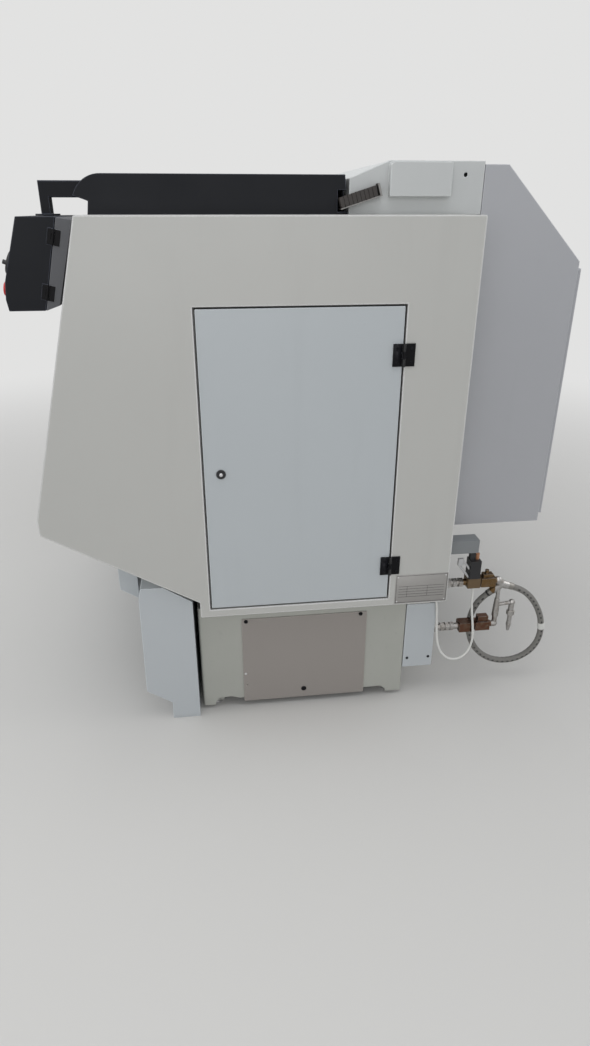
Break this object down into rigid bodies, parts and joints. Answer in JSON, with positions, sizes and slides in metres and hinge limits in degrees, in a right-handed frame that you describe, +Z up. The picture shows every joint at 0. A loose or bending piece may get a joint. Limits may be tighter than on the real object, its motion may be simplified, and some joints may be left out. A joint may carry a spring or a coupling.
{
  "type": "cnc slant bed lathe",
  "caption": "Slant bed turning centre in sheet metal covers, with chuck, tool turret, tailstock, sliding door, operator pendant, coolant tank and rear electrical cabinet.",
  "frame": {"origin": "on the floor, at the centre of the machine base's anchor pattern", "axes": "+Z up, +X along the spindle from the chuck to the tailstock, +Y from the door side to the rear cabinet"},
  "size_m": [1.971, 1.7351, 1.773],
  "materials": {
    "aluminium": "anodised",
    "anthracite": "textured powder coat",
    "base_paint": "semi gloss machine paint, greenish grey",
    "black_metal": "black finish",
    "black_plastic": "moulded",
    "brass": "machined",
    "cable_white": "smooth sheath",
    "cast_iron": "machined casting",
    "cast_paint": "machine paint on a casting",
    "charcoal": "textured powder coat",
    "chrome": "polished",
    "cover_white": "satin powder coat, warm off white",
    "door_white": "satin powder coat, cool white",
    "green_plastic": "moulded",
    "hose_grey": "braided cover",
    "inner_white": "satin powder coat",
    "plate_grey": "pinkish grey paint",
    "red_plastic": "moulded",
    "rubber": "matt black",
    "steel": "machined and ground",
    "window": "laminated safety glass",
    "yellow_plastic": "moulded"
  },
  "bodies": {
    "frame": {"machine_base": "base_paint", "base_cover_plate": "plate_grey", "levelling_feet": "steel", "rear_brackets": "door_white", "slant_bed": "cast_paint", "headstock": "cast_paint", "drive_belt": "rubber", "spindle_motor": "black_metal", "z_servo_motor": "black_metal", "bulkheads": "inner_white", "right_end_cover": "cover_white", "access_door_hinges": "black_metal", "left_end_cover": "cover_white", "front_sill": "door_white", "front_fixed_panels": "door_white", "rear_wall": "inner_white", "coolant_tank": "door_white", "top_hood": "anthracite", "roof_housing": "cover_white", "cable_chain": "black_plastic", "electrical_cabinet": "door_white", "cabinet_devices": "aluminium", "pendant_arm": "anthracite", "pipe_fittings": "brass", "solenoid_valve": "black_plastic", "hose_loop": "hose_grey", "white_cable": "cable_white", "lubrication_unit": "inner_white"},
    "spindle": {"spindle": "steel", "spindle_pulley": "aluminium", "chuck_cylinder": "steel", "chuck_body": "steel"},
    "motor_rotor": {"motor_pulley": "aluminium"},
    "jaw_1": {"chuck_jaw_1": "steel"},
    "jaw_2": {"chuck_jaw_2": "steel"},
    "jaw_3": {"chuck_jaw_3": "steel"},
    "saddle": {"saddle": "cast_iron", "way_covers_saddle": "steel", "x_servo_motor": "black_metal"},
    "z_screw": {"z_ball_screw": "steel"},
    "cover_left": {"way_cover_left_middle": "steel"},
    "cover_right": {"way_cover_right_middle": "steel"},
    "cross_slide": {"turret_slide": "cast_iron"},
    "x_screw": {"x_ball_screw": "steel"},
    "turret": {"turret_disc": "steel"},
    "tailstock": {"tailstock_body": "cast_paint"},
    "quill": {"tailstock_quill": "chrome"},
    "centre": {"live_centre": "steel"},
    "front_door": {"sliding_door": "door_white", "door_window": "window"},
    "access_door": {"access_door": "door_white"},
    "access_lock": {"access_door_lock": "black_plastic"},
    "cabinet_door": {"cabinet_door": "door_white"},
    "main_switch": {"main_switch": "red_plastic"},
    "pendant": {"pendant_housing": "anthracite"},
    "pendant_cover": {"pendant_rear_cover": "charcoal"},
    "emergency_stop": {"emergency_stop": "red_plastic"},
    "cycle_start": {"cycle_start_button": "green_plastic"},
    "feed_hold": {"feed_hold_button": "yellow_plastic"},
    "handwheel": {"pulse_handwheel": "black_plastic"}
  },
  "joints": [
    {"name": "spindle_turn", "type": "hinge", "parent": "frame", "child": "spindle", "pos_m": [-0.335, -0.23, 1.05], "axis": [1, 0, 0], "continuous": true},
    {"name": "motor_turn", "type": "hinge", "parent": "frame", "child": "motor_rotor", "pos_m": [-0.765, -0.4, 0.73], "axis": [1, 0, 0], "continuous": true},
    {"name": "jaw_1_slide", "type": "slide", "parent": "spindle", "child": "jaw_1", "axis": [0, 0, 1], "range_m": [-0.003, 0.003]},
    {"name": "jaw_2_slide", "type": "slide", "parent": "spindle", "child": "jaw_2", "axis": [0, -0.866, -0.5], "range_m": [-0.003, 0.003]},
    {"name": "jaw_3_slide", "type": "slide", "parent": "spindle", "child": "jaw_3", "axis": [0, 0.866, -0.5], "range_m": [-0.003, 0.003]},
    {"name": "saddle_slide", "type": "slide", "parent": "frame", "child": "saddle", "axis": [1, 0, 0], "range_m": [-0.12, 0.18]},
    {"name": "z_screw_turn", "type": "hinge", "parent": "frame", "child": "z_screw", "pos_m": [0.2, 0.06416, 1.0104], "axis": [1, 0, 0], "range_deg": [-4320, 6480]},
    {"name": "cover_left_slide", "type": "slide", "parent": "frame", "child": "cover_left", "axis": [1, 0, 0], "range_m": [-0.06, 0.09]},
    {"name": "cover_right_slide", "type": "slide", "parent": "frame", "child": "cover_right", "axis": [1, 0, 0], "range_m": [-0.06, 0.09]},
    {"name": "cross_slide", "type": "slide", "parent": "saddle", "child": "cross_slide", "axis": [0, -0.7071, -0.7071], "range_m": [-0.04, 0.11]},
    {"name": "x_screw_turn", "type": "hinge", "parent": "saddle", "child": "x_screw", "pos_m": [0.2, 0.10375, 1.14051], "axis": [0, 0.7071, 0.7071], "range_deg": [-1440, 3960]},
    {"name": "turret_index", "type": "hinge", "parent": "cross_slide", "child": "turret", "pos_m": [0.02, -0.0179, 1.2621], "axis": [1, 0, 0], "continuous": true},
    {"name": "tailstock_slide", "type": "slide", "parent": "frame", "child": "tailstock", "axis": [1, 0, 0], "range_m": [-0.2, 0.06]},
    {"name": "quill_slide", "type": "slide", "parent": "tailstock", "child": "quill", "axis": [1, 0, 0], "range_m": [-0.08, 0]},
    {"name": "centre_turn", "type": "hinge", "parent": "quill", "child": "centre", "pos_m": [0.39, -0.23, 1.05], "axis": [1, 0, 0], "continuous": true},
    {"name": "front_door_slide", "type": "slide", "parent": "frame", "child": "front_door", "axis": [-1, 0, 0], "range_m": [0, 0.66]},
    {"name": "access_door_hinge", "type": "hinge", "parent": "frame", "child": "access_door", "pos_m": [0.906, 0.275, 0.926], "axis": [0, 0, 1], "range_deg": [0, 110]},
    {"name": "access_lock_turn", "type": "hinge", "parent": "access_door", "child": "access_lock", "pos_m": [0.898, -0.264, 0.926], "axis": [-1, 0, 0], "range_deg": [0, 90]},
    {"name": "cabinet_door_hinge", "type": "hinge", "parent": "frame", "child": "cabinet_door", "pos_m": [-0.092, 0.871, 1.067], "axis": [0, 0, 1], "range_deg": [0, 120]},
    {"name": "main_switch_turn", "type": "hinge", "parent": "cabinet_door", "child": "main_switch", "pos_m": [0.12, 0.88, 1.34], "axis": [0, 1, 0], "range_deg": [0, 90]},
    {"name": "pendant_swivel", "type": "hinge", "parent": "frame", "child": "pendant", "pos_m": [0.62, -0.7165, 1.632], "axis": [0, 0, -1], "range_deg": [0, 15]},
    {"name": "pendant_cover_hinge", "type": "hinge", "parent": "pendant", "child": "pendant_cover", "pos_m": [0.824, -0.66, 1.632], "axis": [0, 0.2348, 0.9721], "range_deg": [-6, 0]},
    {"name": "emergency_stop_press", "type": "slide", "parent": "pendant", "child": "emergency_stop", "axis": [0, 0.9939, -0.1104], "range_m": [0, 0.004], "stiffness_N_per_m": 600},
    {"name": "cycle_start_press", "type": "slide", "parent": "pendant", "child": "cycle_start", "axis": [0, 0.9939, -0.1104], "range_m": [0, 0.003], "stiffness_N_per_m": 400},
    {"name": "feed_hold_press", "type": "slide", "parent": "pendant", "child": "feed_hold", "axis": [0, 0.9939, -0.1104], "range_m": [0, 0.003], "stiffness_N_per_m": 400},
    {"name": "handwheel_turn", "type": "hinge", "parent": "pendant", "child": "handwheel", "pos_m": [0.77, -0.7987, 1.5153], "axis": [0, -0.9516, 0.3072], "continuous": true}
  ],
  "couplings": [
    {"joint": "motor_turn", "follows": "spindle_turn", "ratio": 1.5},
    {"joint": "jaw_2_slide", "follows": "jaw_1_slide", "ratio": 1},
    {"joint": "jaw_3_slide", "follows": "jaw_1_slide", "ratio": 1},
    {"joint": "z_screw_turn", "follows": "saddle_slide", "rad_per_m": 628.32},
    {"joint": "cover_left_slide", "follows": "saddle_slide", "ratio": 0.5},
    {"joint": "cover_right_slide", "follows": "saddle_slide", "ratio": 0.5},
    {"joint": "x_screw_turn", "follows": "cross_slide", "rad_per_m": 628.32}
  ]
}
